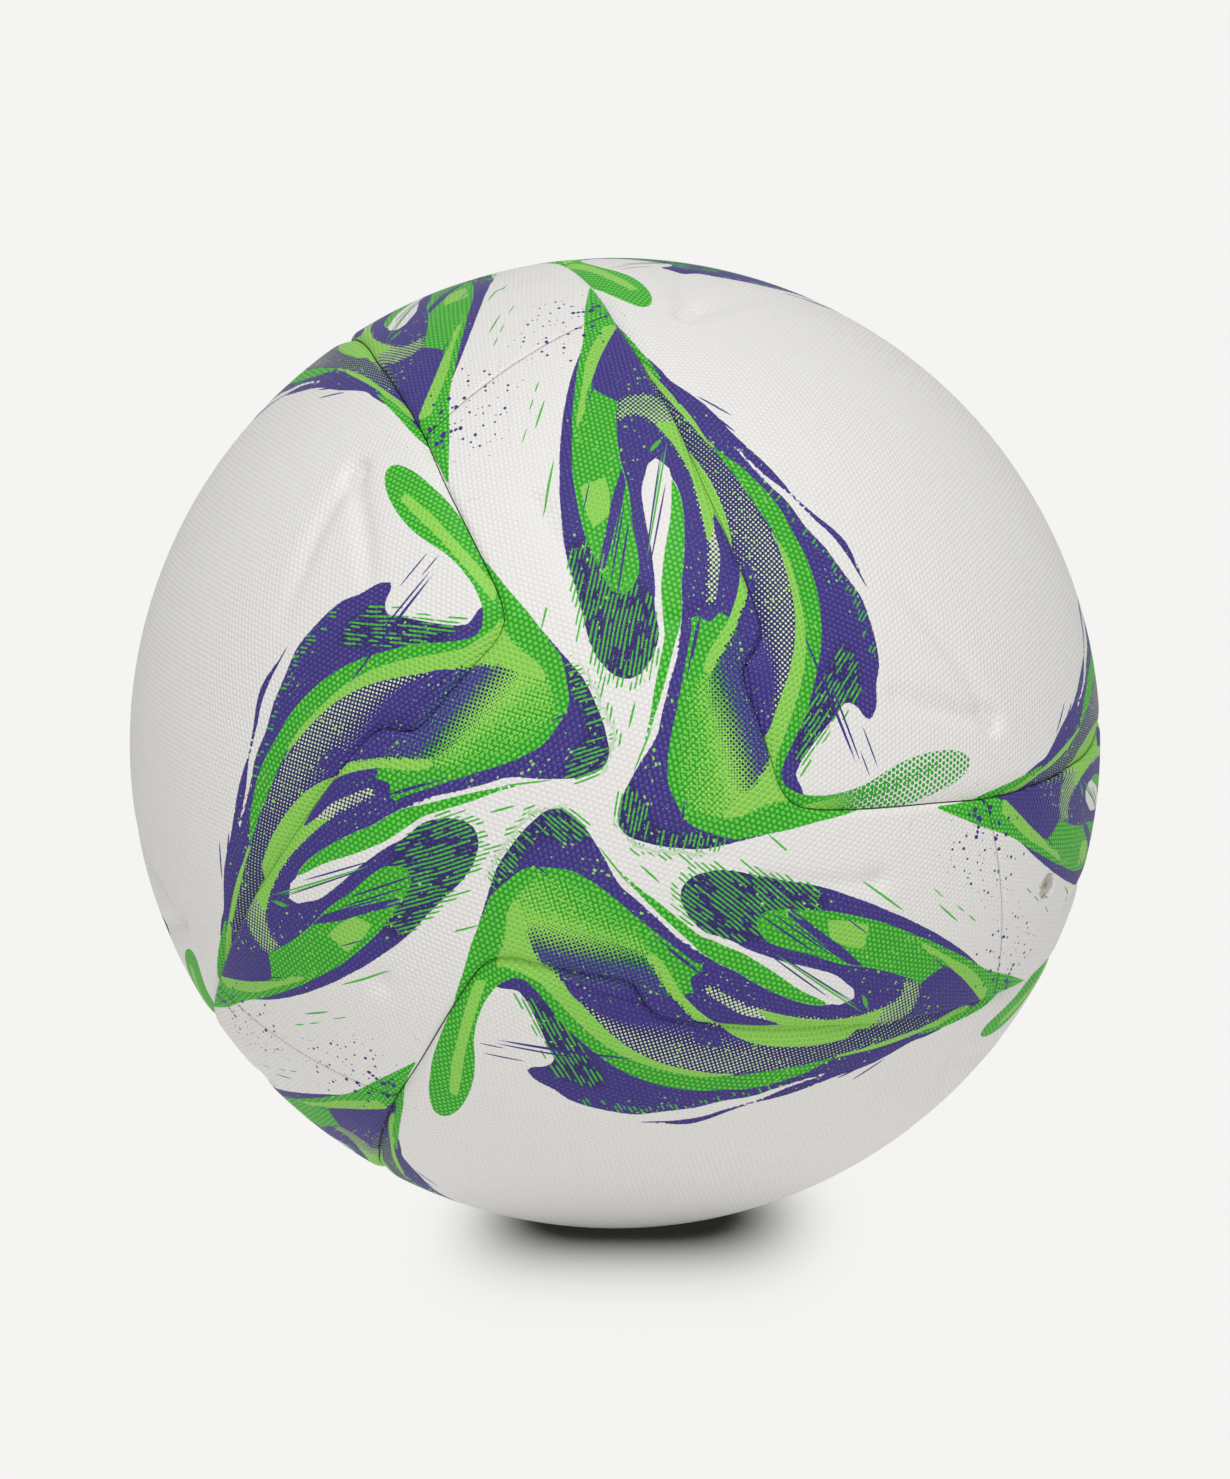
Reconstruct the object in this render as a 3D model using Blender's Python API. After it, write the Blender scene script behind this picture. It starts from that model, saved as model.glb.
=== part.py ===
"""Soccer ball, size 5: eight bonded cover panels over foam, textile carcass and bladder.

Frame: origin at the ball's centre, +Z up. The panel called front faces -Y.

The cover follows a tetrahedron. Four three-armed panels sit on its corners and four
three-sided panels sit on its faces. The arms of neighbouring panels meet end to end in
short butt joints, and one curved seam, repeated twelve times by the tetrahedron's
rotations, runs between every arm and the three-sided panel beside it.

Each cover panel is a polyurethane skin on a foam pad of the same outline. Under them lie
a fabric carcass and a butyl bladder, both open at the valve, and the valve's two rubber
pieces: a socket moulded on a round base patch, and the plug pressed into it.
"""

import math

import bmesh
import bpy
from mathutils import Matrix, Vector
from mathutils.geometry import delaunay_2d_cdt

# Driving dimensions, in metres
BALL_RADIUS = 0.1100
SKIN_THICKNESS = 0.0014
FOAM_THICKNESS = 0.0030
CARCASS_THICKNESS = 0.0013
BLADDER_THICKNESS = 0.0010

# Clearances between the layers. A flat facet hangs below the sphere that it stands for,
# so the layers whose facets differ keep more than the ones whose facets are parallel.
SKIN_TO_FOAM = 0.0009
FOAM_TO_CARCASS = 0.0012
CARCASS_TO_BLADDER = 0.0003
PANEL_GAP = 0.0003

# Cover edges: the skins roll down into the long seams, and hardly at the butt joints
SEAM_DROP = 0.0009
BUTT_DROP = 0.0002
EDGE_ROLL = 0.0022

# Facet sizes
SKIN_FACET = 0.0140
FOAM_FACET = 0.0160
SHELL_STEPS = 28
SHELL_RINGS = 15
VALVE_STEPS = 20

# How the front panel lies: the tilt of its first arm from +X towards +Z
ARM_TILT = math.radians(-18.0)

# The seam between the first arm and the three-sided panel below it, on a map centred on
# the front panel: x along the arm, y to its left, distances measured along the surface.
# It starts at the joint of three panels at the arm's end, passes a small step, turns the
# blunt corner of the three-sided panel and ends at that panel's next joint.
SEAM_START = (0.1185, -0.0265)
SEAM_ALONG_ARM = [
    (0.1090, -0.0285),
    (0.0990, -0.0307),
    (0.0900, -0.0325),
    (0.0800, -0.0346),
    (0.0700, -0.0360),
    (0.0600, -0.0376),
    (0.0500, -0.0393),
    (0.0400, -0.0407),
]
SEAM_STEP = [
    (0.0310, -0.0420),
    (0.0262, -0.0416),
    (0.0232, -0.0393),
    (0.0205, -0.0366),
]
SEAM_CORNER = [
    (0.0172, -0.0358),
    (0.0090, -0.0368),
    (0.0000, -0.0378),
    (-0.0065, -0.0386),
    (-0.0103, -0.0406),
    (-0.0126, -0.0446),
]
SEAM_FLANK = [
    (-0.0150, -0.0530),
    (-0.0174, -0.0635),
    (-0.0199, -0.0750),
]
BUTT_POINTS = 3

# Valve: its place on a neighbouring panel's map, and its turned sizes
VALVE_PLACE = (0.0862, -0.0056)
SKIN_HOLE_RADIUS = 0.0031
VALVE_HOLE_RADIUS = 0.0044
VALVE_CUTTER_LENGTH = 0.0200
PLUG_HEAD_RADIUS = 0.0028
PLUG_STEM_RADIUS = 0.0020
PLUG_RECESS = 0.0006
NEEDLE_CHANNEL_RADIUS = 0.0006
NEEDLE_LEAD_RADIUS = 0.0011
SOCKET_RADIUS = 0.0040
PATCH_RADIUS = 0.0160
PATCH_THICKNESS = 0.0014
FIT_GAP = 0.0003

# Layer radii
SKIN_INNER = BALL_RADIUS - SKIN_THICKNESS
FOAM_OUTER = SKIN_INNER - SKIN_TO_FOAM
FOAM_INNER = FOAM_OUTER - FOAM_THICKNESS
CARCASS_OUTER = FOAM_INNER - FOAM_TO_CARCASS
CARCASS_INNER = CARCASS_OUTER - CARCASS_THICKNESS
BLADDER_OUTER = CARCASS_INNER - CARCASS_TO_BLADDER
BLADDER_INNER = BLADDER_OUTER - BLADDER_THICKNESS

# The front panel's axes: outwards, and along its first arm
FRONT = Vector((0.0, -1.0, 0.0))
ARM = Vector((math.cos(ARM_TILT), 0.0, math.sin(ARM_TILT)))

# Half of the tetrahedron's corner-to-corner angle: from a panel's centre to a butt joint
BUTT_ANGLE = math.acos(1.0 / math.sqrt(3.0))
BUTT_MIDDLE = math.cos(BUTT_ANGLE) * FRONT + math.sin(BUTT_ANGLE) * ARM

# Rotations that carry the ball's pattern onto itself
ONE_THIRD = Matrix.Rotation(2.0 * math.pi / 3.0, 3, FRONT)
TWO_THIRDS = ONE_THIRD @ ONE_THIRD
HALF_TURN = Matrix.Rotation(math.pi, 3, BUTT_MIDDLE)
NO_TURN = Matrix.Identity(3)
TRIANGLE_THIRD = ONE_THIRD.transposed() @ HALF_TURN

ARMED_PANELS = {
    "front": NO_TURN,
    "right": HALF_TURN,
    "left_upper": ONE_THIRD @ HALF_TURN,
    "left_lower": TWO_THIRDS @ HALF_TURN,
}
THREE_SIDED_PANELS = {
    "lower": NO_TURN,
    "upper": ONE_THIRD,
    "left": TWO_THIRDS,
    "rear": HALF_TURN @ ONE_THIRD.transposed(),
}


# ---------------------------------------------------------------- maps and curves


class SurfaceMap:
    """A flat map of the sphere, true in distance and bearing from its centre."""

    def __init__(self, centre, x_axis):
        self.centre = centre.normalized()
        self.x_axis = (x_axis - x_axis.dot(self.centre) * self.centre).normalized()
        self.y_axis = self.centre.cross(self.x_axis)

    def direction(self, point):
        """The unit direction from the ball's centre through a point of the map."""
        distance = math.hypot(point[0], point[1])
        if distance < 1e-9:
            return self.centre.copy()
        angle = distance / BALL_RADIUS
        bearing = (point[0] * self.x_axis + point[1] * self.y_axis) / distance
        return math.cos(angle) * self.centre + math.sin(angle) * bearing

    def point(self, direction):
        """The place on the map of a direction from the ball's centre."""
        across = Vector((direction.dot(self.x_axis), direction.dot(self.y_axis)))
        if across.length < 1e-9:
            return Vector((0.0, 0.0))
        angle = math.atan2(across.length, direction.dot(self.centre))
        return across.normalized() * angle * BALL_RADIUS


FRONT_MAP = SurfaceMap(FRONT, ARM)


def seam_directions():
    """The seam's directions, from the joint at the arm's end to the panel's next joint."""
    start = FRONT_MAP.direction(SEAM_START)
    end = TRIANGLE_THIRD @ start
    middle = SEAM_ALONG_ARM + SEAM_STEP + SEAM_CORNER + SEAM_FLANK
    return [start] + [FRONT_MAP.direction(point) for point in middle] + [end]


def butt_directions():
    """Directions inside one butt joint, from the seam's start to its half-turn image."""
    start = FRONT_MAP.direction(SEAM_START)
    end = HALF_TURN @ start
    steps = BUTT_POINTS + 1
    return [start.slerp(end, step / steps) for step in range(1, steps)]


def armed_outline():
    """The front panel's outline, each direction with how far its edge rolls down."""
    seam = seam_directions()
    outline = []
    turn = NO_TURN
    for _ in range(3):
        outline.append((turn @ seam[0], BUTT_DROP))
        for direction in butt_directions():
            outline.append((turn @ direction, BUTT_DROP))
        turn = ONE_THIRD @ turn
        outline.append((turn @ seam[-1], BUTT_DROP))
        for direction in reversed(seam[1:-1]):
            outline.append((turn @ direction, SEAM_DROP))
    return outline


def three_sided_outline():
    """The lower panel's outline, each direction with how far its edge rolls down."""
    seam = seam_directions()
    outline = []
    turn = NO_TURN
    for _ in range(3):
        for direction in seam[:-1]:
            outline.append((turn @ direction, SEAM_DROP))
        turn = TRIANGLE_THIRD @ turn
    return outline


# ---------------------------------------------------------------- flat outlines


def inset(outline, distance):
    """A counterclockwise outline moved inwards, with mitred corners."""
    moved = []
    count = len(outline)
    for index, point in enumerate(outline):
        before = (point - outline[index - 1]).normalized()
        after = (outline[(index + 1) % count] - point).normalized()
        normal_before = Vector((-before.y, before.x))
        normal_after = Vector((-after.y, after.x))
        spread = max(0.35, 1.0 + normal_before.dot(normal_after))
        moved.append(point + distance * (normal_before + normal_after) / spread)
    return moved


def is_inside(point, outline):
    """Whether a point lies inside an outline, by counting crossings."""
    inside = False
    for index, end in enumerate(outline):
        start = outline[index - 1]
        if (start.y > point.y) != (end.y > point.y):
            crossing = start.x + (point.y - start.y) / (end.y - start.y) * (end.x - start.x)
            if point.x < crossing:
                inside = not inside
    return inside


def distance_to_outline(point, outline):
    """The shortest distance from a point to an outline's edges."""
    nearest = math.inf
    for index, end in enumerate(outline):
        start = outline[index - 1]
        edge = end - start
        along = max(0.0, min(1.0, (point - start).dot(edge) / edge.length_squared))
        nearest = min(nearest, (point - start - along * edge).length)
    return nearest


def grid_points(outline, spacing):
    """Points of a triangular grid that lie well inside an outline."""
    reach = max(point.length for point in outline)
    row_height = spacing * math.sqrt(3.0) / 2.0
    rows = int(reach / row_height) + 1
    columns = int(reach / spacing) + 1
    points = []
    for row in range(-rows, rows + 1):
        shift = 0.5 * spacing * (row % 2)
        for column in range(-columns, columns + 1):
            point = Vector((column * spacing + shift, row * row_height))
            if is_inside(point, outline) and distance_to_outline(point, outline) > 0.45 * spacing:
                points.append(point)
    return points


def triangulate(rings, loose_points):
    """Triangles that fill the first ring, with edges along every ring."""
    points = []
    edges = []
    for ring in rings:
        first = len(points)
        points.extend(ring)
        for index in range(len(ring)):
            edges.append((first + index, first + (index + 1) % len(ring)))
    points.extend(loose_points)
    face = list(range(len(rings[0])))
    result = delaunay_2d_cdt(points, edges, [face], 1, 1e-7)
    if len(result[0]) != len(points):
        raise ValueError("the rings of a panel cross each other")
    order = [originals[0] for originals in result[3]]
    return [[order[corner] for corner in triangle] for triangle in result[2]]


# ---------------------------------------------------------------- objects


def add_object(name, mesh, material):
    """An object for a finished mesh, with its own material."""
    mesh.materials.append(material)
    obj = bpy.data.objects.new(name, mesh)
    bpy.context.scene.collection.objects.link(obj)
    return obj


def add_bmesh_object(name, shape, material):
    """An object for a bmesh, smooth apart from its sharp edges."""
    bmesh.ops.recalc_face_normals(shape, faces=shape.faces)
    mesh = bpy.data.meshes.new(name)
    shape.to_mesh(mesh)
    shape.free()
    mesh.shade_smooth()
    mesh.set_sharp_from_angle(angle=math.radians(35.0))
    return add_object(name, mesh, material)


def plain_material(name, colour, roughness):
    """A plastic, rubber or textile surface of one colour."""
    material = bpy.data.materials.new(name)
    material.use_nodes = True
    shader = material.node_tree.nodes["Principled BSDF"]
    shader.inputs["Base Color"].default_value = (*colour, 1.0)
    shader.inputs["Roughness"].default_value = roughness
    shader.inputs["Metallic"].default_value = 0.0
    return material


def panel_layer(name, turn, centre, outline, outer, inner, facet, material, rolled):
    """One layer of a cover panel, between two radii, turned into its place."""
    surface_map = SurfaceMap(centre, outline[0][0])
    flat = [surface_map.point(direction) for direction, _ in outline]
    edge = inset(flat, 0.5 * PANEL_GAP)
    drops = [drop if rolled else 0.0 for _, drop in outline]
    rings = [edge]
    if rolled:
        rings.append(inset(flat, 0.5 * PANEL_GAP + EDGE_ROLL))
    loose = grid_points(rings[-1], facet)

    shape = bmesh.new()
    upper_points = [point for ring in rings for point in ring] + loose
    upper = []
    for index, point in enumerate(upper_points):
        radius = outer - (drops[index] if index < len(edge) else 0.0)
        upper.append(shape.verts.new(turn @ surface_map.direction(point) * radius))
    lower = []
    for point in edge + loose:
        lower.append(shape.verts.new(turn @ surface_map.direction(point) * inner))

    for triangle in triangulate(rings, loose):
        shape.faces.new([upper[corner] for corner in triangle])
    for triangle in triangulate([edge], loose):
        shape.faces.new([lower[corner] for corner in reversed(triangle)])
    for index in range(len(edge)):
        following = (index + 1) % len(edge)
        shape.faces.new([lower[index], lower[following], upper[following], upper[index]])
    return add_bmesh_object(name, shape, material)


def every_other_point(outline):
    """An outline with about half of its points, for the soft pads behind the skins."""
    return [entry for index, entry in enumerate(outline) if index % 2 == 0]


def turned_solid(name, profile, steps, material, placement):
    """A closed solid turned about +Z from a closed profile of (radius, height) points."""
    shape = bmesh.new()
    rings = []
    for radius, height in profile:
        ring = []
        for step in range(steps if radius > 1e-9 else 1):
            angle = 2.0 * math.pi * step / steps
            place = Vector((radius * math.cos(angle), radius * math.sin(angle), height))
            ring.append(shape.verts.new(placement @ place))
        rings.append(ring)
    for index, ring in enumerate(rings):
        following = rings[(index + 1) % len(rings)]
        for step in range(steps):
            after = (step + 1) % steps
            if len(ring) == 1 and len(following) == 1:
                break
            if len(ring) == 1:
                shape.faces.new([ring[0], following[step], following[after]])
            elif len(following) == 1:
                shape.faces.new([ring[step], following[0], ring[after]])
            else:
                shape.faces.new([ring[step], following[step], following[after], ring[after]])
    return add_bmesh_object(name, shape, material)


def shell_arc(radius, hole_radius):
    """A spherical arc's (radius, height) points, from the hole round +Z to the far pole."""
    start = math.asin(hole_radius / radius)
    step = (math.pi - start) / SHELL_RINGS
    angles = [start + ring * step for ring in range(SHELL_RINGS)]
    arc = [(radius * math.sin(angle), radius * math.cos(angle)) for angle in angles]
    return arc + [(0.0, -radius)]


# ---------------------------------------------------------------- the ball's pieces


def cut_valve_hole(panel, radius, valve_placement):
    """A Boolean that cuts the valve's round hole through a cover layer."""
    name = f"{panel.name}_hole_cutter"
    shape = bmesh.new()
    bmesh.ops.create_cone(
        shape,
        cap_ends=True,
        segments=VALVE_STEPS,
        radius1=radius,
        radius2=radius,
        depth=VALVE_CUTTER_LENGTH,
        matrix=valve_placement.to_4x4() @ Matrix.Translation((0.0, 0.0, SKIN_INNER)),
    )
    mesh = bpy.data.meshes.new(name)
    shape.to_mesh(mesh)
    shape.free()
    cutter = bpy.data.objects.new(name, mesh)
    cutter.hide_render = True
    cutter.display_type = "WIRE"
    bpy.context.scene.collection.objects.link(cutter)
    hole = panel.modifiers.new("valve_hole", "BOOLEAN")
    hole.operation = "DIFFERENCE"
    hole.solver = "EXACT"
    hole.object = cutter


def build_cover(valve_placement):
    """The eight skins and the eight foam pads behind them."""
    print_colour = (0.075, 0.055, 0.260)
    white = (0.830, 0.820, 0.800)
    foam_colour = (0.700, 0.690, 0.640)
    families = [
        ("armed", ARMED_PANELS, FRONT, armed_outline(), print_colour),
        ("triangle", THREE_SIDED_PANELS, None, three_sided_outline(), white),
    ]
    for family, turns, centre, outline, colour in families:
        if centre is None:
            total = sum((direction for direction, _ in outline), Vector())
            centre = total.normalized()
        pad_outline = every_other_point(outline)
        for place, turn in turns.items():
            skin = panel_layer(
                f"{family}_skin_{place}",
                turn,
                centre,
                outline,
                BALL_RADIUS,
                SKIN_INNER,
                SKIN_FACET,
                plain_material(f"{family}_skin_{place}", colour, 0.42),
                rolled=True,
            )
            pad = panel_layer(
                f"{family}_foam_{place}",
                turn,
                centre,
                pad_outline,
                FOAM_OUTER,
                FOAM_INNER,
                FOAM_FACET,
                plain_material(f"{family}_foam_{place}", foam_colour, 0.90),
                rolled=False,
            )
            if family == "armed" and place == "right":
                cut_valve_hole(skin, SKIN_HOLE_RADIUS, valve_placement)
                cut_valve_hole(pad, VALVE_HOLE_RADIUS, valve_placement)


def build_shells(valve_placement):
    """The fabric carcass and the bladder inside it, both open at the valve."""
    layers = [
        ("carcass", CARCASS_OUTER, CARCASS_INNER, (0.720, 0.700, 0.620), 0.85),
        ("bladder", BLADDER_OUTER, BLADDER_INNER, (0.030, 0.030, 0.032), 0.55),
    ]
    for name, outer, inner, colour, roughness in layers:
        profile = shell_arc(outer, VALVE_HOLE_RADIUS) + shell_arc(inner, VALVE_HOLE_RADIUS)[::-1]
        material = plain_material(name, colour, roughness)
        turned_solid(name, profile, SHELL_STEPS, material, valve_placement)


def build_valve(valve_placement):
    """The rubber socket with its round base patch, and the plug with its needle channel."""
    plug_top = BALL_RADIUS - PLUG_RECESS
    plug_shoulder = plug_top - 0.0018
    patch_outer = BLADDER_INNER - 0.0009
    patch_inner = patch_outer - PATCH_THICKNESS
    bore = PLUG_STEM_RADIUS + FIT_GAP
    rim = 0.6 * PATCH_THICKNESS
    socket_bottom = patch_inner - 0.0012
    socket = [
        (bore, plug_shoulder - FIT_GAP),
        (SOCKET_RADIUS, plug_shoulder - FIT_GAP),
        (SOCKET_RADIUS, math.sqrt(patch_outer**2 - SOCKET_RADIUS**2)),
        (PATCH_RADIUS, math.sqrt(patch_outer**2 - PATCH_RADIUS**2) - rim),
        (PATCH_RADIUS, math.sqrt(patch_inner**2 - PATCH_RADIUS**2)),
        (SOCKET_RADIUS + 0.0015, math.sqrt(patch_inner**2 - SOCKET_RADIUS**2)),
        (SOCKET_RADIUS, socket_bottom),
        (bore, socket_bottom),
    ]
    rubber = plain_material("valve_socket", (0.035, 0.035, 0.037), 0.60)
    turned_solid("valve_socket", socket, VALVE_STEPS, rubber, valve_placement)

    chamfer = 0.0003
    plug = [
        (NEEDLE_CHANNEL_RADIUS, socket_bottom - chamfer),
        (PLUG_STEM_RADIUS - chamfer, socket_bottom - chamfer),
        (PLUG_STEM_RADIUS, socket_bottom),
        (PLUG_STEM_RADIUS, plug_shoulder),
        (PLUG_HEAD_RADIUS, plug_shoulder),
        (PLUG_HEAD_RADIUS, plug_top - chamfer),
        (PLUG_HEAD_RADIUS - chamfer, plug_top),
        (NEEDLE_LEAD_RADIUS, plug_top),
        (NEEDLE_CHANNEL_RADIUS, plug_top - 0.0012),
    ]
    rubber = plain_material("valve_plug", (0.300, 0.270, 0.240), 0.55)
    turned_solid("valve_plug", plug, VALVE_STEPS, rubber, valve_placement)


def build_ball():
    """Every piece of the ball, in an emptied scene."""
    for obj in list(bpy.data.objects):
        bpy.data.objects.remove(obj, do_unlink=True)
    valve_direction = HALF_TURN @ FRONT_MAP.direction(VALVE_PLACE)
    valve_placement = Vector((0.0, 0.0, 1.0)).rotation_difference(valve_direction).to_matrix()
    build_cover(valve_placement)
    build_shells(valve_placement)
    build_valve(valve_placement)


build_ball()
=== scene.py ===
"""Looks of the size 5 soccer ball: eight printed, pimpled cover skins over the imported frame.

The cover repeats under the twelve rotations of a tetrahedron, so the seam and the print are
described once, on a flat map of the front panel's first arm, and turned into their places.
Map distances are in millimetres along the ball's surface; meshes are in metres.
"""

import math

import bmesh
import bpy
import numpy as np
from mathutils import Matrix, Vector
from mathutils.geometry import delaunay_2d_cdt


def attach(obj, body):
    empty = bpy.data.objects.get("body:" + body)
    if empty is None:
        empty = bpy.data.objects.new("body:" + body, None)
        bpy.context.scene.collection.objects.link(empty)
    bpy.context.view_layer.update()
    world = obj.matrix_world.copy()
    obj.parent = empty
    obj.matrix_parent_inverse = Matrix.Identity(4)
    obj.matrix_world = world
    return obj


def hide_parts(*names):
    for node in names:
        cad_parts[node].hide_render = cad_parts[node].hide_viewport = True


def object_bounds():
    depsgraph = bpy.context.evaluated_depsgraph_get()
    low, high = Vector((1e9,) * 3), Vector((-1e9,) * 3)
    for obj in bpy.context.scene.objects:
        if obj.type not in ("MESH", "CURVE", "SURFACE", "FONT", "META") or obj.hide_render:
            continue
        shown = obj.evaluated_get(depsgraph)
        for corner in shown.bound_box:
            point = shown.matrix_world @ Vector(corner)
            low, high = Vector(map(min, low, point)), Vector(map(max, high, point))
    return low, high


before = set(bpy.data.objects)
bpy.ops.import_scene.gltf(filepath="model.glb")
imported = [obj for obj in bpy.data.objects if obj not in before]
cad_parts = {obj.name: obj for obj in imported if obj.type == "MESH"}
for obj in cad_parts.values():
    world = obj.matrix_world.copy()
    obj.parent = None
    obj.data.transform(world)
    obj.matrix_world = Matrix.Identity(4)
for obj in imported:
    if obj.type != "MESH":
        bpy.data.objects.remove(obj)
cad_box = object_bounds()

MM = 0.001
BALL_RADIUS = 110.0
SKIN_THICKNESS = 1.4
THINNEST_SKIN = 0.5
DEEPEST_DENT = 1.5
PANEL_GAP = 0.3
MESH_STEP = 0.95
UNDERSIDE_STEP = 6.0
OUTLINE_STEP = 1.0
EDGE_RINGS = (0.35, 0.85, 1.5)
FIELD_REACH = 3.0
FAR = 99.0

# The seam, as in the frame: map points from the joint at the arm's end to the next joint
SEAM_START = (118.5, -26.5)
SEAM_POINTS = [
    (109, -28.5), (99, -30.7), (90, -32.5), (80, -34.6), (70, -36), (60, -37.6),
    (50, -39.3), (40, -40.7), (31, -42), (26.2, -41.6), (23.2, -39.3), (20.5, -36.6),
    (17.2, -35.8), (9, -36.8), (0, -37.8), (-6.5, -38.6), (-10.3, -40.6), (-12.6, -44.6),
    (-15, -53), (-17.4, -63.5), (-19.9, -75),
]
VALVE_PLACE = (86.2, -5.6)
VALVE_HOLE_RADIUS = 3.1
HOLE_SIDES = 48
HOLE_ROUNDING = 0.25

# ---- rotations and maps


def turn_about(axis, angle):
    """The matrix of a turn about an axis through the ball's centre."""
    x, y, z = axis
    cross = np.array([[0.0, -z, y], [z, 0.0, -x], [-y, x, 0.0]])
    return np.eye(3) + math.sin(angle) * cross + (1.0 - math.cos(angle)) * cross @ cross


ARM_TILT = math.radians(-18.0)
FRONT = np.array([0.0, -1.0, 0.0])
ARM = np.array([math.cos(ARM_TILT), 0.0, math.sin(ARM_TILT)])
BUTT_ANGLE = math.acos(1.0 / math.sqrt(3.0))
BUTT_MIDDLE = math.cos(BUTT_ANGLE) * FRONT + math.sin(BUTT_ANGLE) * ARM
ONE_THIRD = turn_about(FRONT, 2.0 * math.pi / 3.0)
TWO_THIRDS = ONE_THIRD @ ONE_THIRD
HALF_TURN = turn_about(BUTT_MIDDLE, math.pi)
TRIANGLE_THIRD = ONE_THIRD.T @ HALF_TURN

ARMED_PLACES = {
    "front": np.eye(3),
    "right": HALF_TURN,
    "left_upper": ONE_THIRD @ HALF_TURN,
    "left_lower": TWO_THIRDS @ HALF_TURN,
}
TRIANGLE_PLACES = {
    "lower": np.eye(3),
    "upper": ONE_THIRD,
    "left": TWO_THIRDS,
    "rear": HALF_TURN @ ONE_THIRD.T,
}
COPIES = [
    place @ third for place in ARMED_PLACES.values() for third in (np.eye(3), ONE_THIRD, TWO_THIRDS)
]

# How far the print of two three-sided panels is turned off its true place, in degrees
PRINT_SLIPS = {"upper": (1.08, -0.15, -1.4), "left": (-0.5, -0.35, 0.65)}
# The share of the dents' depth that the lower three-sided panel has
LOWER_DENT_SHARE = 0.35


class SurfaceMap:
    """A flat map of the sphere, true in distance and bearing from its centre."""

    def __init__(self, centre, x_axis):
        self.centre = centre / np.linalg.norm(centre)
        across = x_axis - x_axis @ self.centre * self.centre
        self.x_axis = across / np.linalg.norm(across)
        self.y_axis = np.cross(self.centre, self.x_axis)

    def directions(self, points):
        """Unit directions through map points."""
        points = np.asarray(points, dtype=float)
        distance = np.maximum(np.hypot(points[:, 0], points[:, 1]), 1e-9)
        angle = distance / BALL_RADIUS
        bearing = np.outer(points[:, 0], self.x_axis) + np.outer(points[:, 1], self.y_axis)
        return np.outer(np.cos(angle), self.centre) + bearing * (np.sin(angle) / distance)[:, None]

    def points(self, directions):
        """Map points of unit directions."""
        x = directions @ self.x_axis
        y = directions @ self.y_axis
        across = np.maximum(np.hypot(x, y), 1e-9)
        distance = np.arctan2(across, directions @ self.centre) * BALL_RADIUS
        return np.stack([x, y], axis=1) * (distance / across)[:, None]


ARM_MAP = SurfaceMap(FRONT, ARM)

# ---- curves and distances


def smooth_line(points):
    """A smooth curve through points of any dimension, with about one place per step."""
    points = np.asarray(points, dtype=float)
    if len(points) < 3:
        return points
    chords = np.linalg.norm(np.diff(points, axis=0), axis=1)
    knots = np.concatenate([[0.0], np.cumsum(np.sqrt(chords))])
    slopes = np.empty_like(points)
    slopes[1:-1] = (points[2:] - points[:-2]) / (knots[2:] - knots[:-2])[:, None]
    slopes[0] = (points[1] - points[0]) / (knots[1] - knots[0])
    slopes[-1] = (points[-1] - points[-2]) / (knots[-1] - knots[-2])
    line = []
    for index, chord in enumerate(chords):
        width = knots[index + 1] - knots[index]
        for part in np.arange(0.0, 1.0, 1.0 / max(1, round(chord / OUTLINE_STEP))):
            square, cube = part**2, part**3
            place = (2 * cube - 3 * square + 1) * points[index]
            place = place + (3 * square - 2 * cube) * points[index + 1]
            place = place + (cube - 2 * square + part) * width * slopes[index]
            line.append(place + (cube - square) * width * slopes[index + 1])
    line.append(points[-1])
    return np.array(line)


def outline(*edges):
    """A closed outline from smooth edges laid end to end, with corners where they meet."""
    return np.concatenate([smooth_line(edge) for edge in edges])


def unit_rows(rows):
    """Each row of an array at length one."""
    return rows / np.linalg.norm(rows, axis=1)[:, None]


def distance_to_line(places, line, closed=False):
    """Distances from places to a line of straight steps."""
    starts = line if closed else line[:-1]
    ends = np.roll(line, -1, axis=0) if closed else line[1:]
    steps = ends - starts
    lengths = np.maximum((steps**2).sum(axis=1), 1e-12)
    result = np.empty(len(places))
    for first in range(0, len(places), 4000):
        part = places[first:first + 4000, None] - starts[None]
        along = np.clip((part * steps).sum(axis=2) / lengths, 0.0, 1.0)
        gap = part - along[..., None] * steps
        result[first:first + 4000] = np.sqrt((gap**2).sum(axis=2).min(axis=1))
    return result


def is_inside(places, line):
    """Whether places lie inside a closed outline, by counting crossings."""
    inside = np.zeros(len(places), dtype=bool)
    for start, end in zip(line, np.roll(line, -1, axis=0)):
        if start[1] == end[1]:
            continue
        crosses = (start[1] > places[:, 1]) != (end[1] > places[:, 1])
        at = start[0] + (places[:, 1] - start[1]) / (end[1] - start[1]) * (end[0] - start[0])
        inside ^= crosses & (places[:, 0] < at)
    return inside


def signed_distance(places, line, reach=FIELD_REACH):
    """How far places lie inside a closed outline, down to minus the reach."""
    result = np.full(len(places), -reach)
    low, high = line.min(axis=0) - reach, line.max(axis=0) + reach
    near = np.all((places > low) & (places < high), axis=1)
    if near.any():
        distance = distance_to_line(places[near], line, closed=True)
        signed = np.where(is_inside(places[near], line), distance, -distance)
        result[near] = np.clip(signed, -reach, reach)
    return result


def ramp(value, low, high):
    """A smooth step from 0 at low to 1 at high; high may lie below low."""
    part = np.clip((value - low) / (high - low), 0.0, 1.0)
    return part * part * (3.0 - 2.0 * part)


# ---- the print, once

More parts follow.
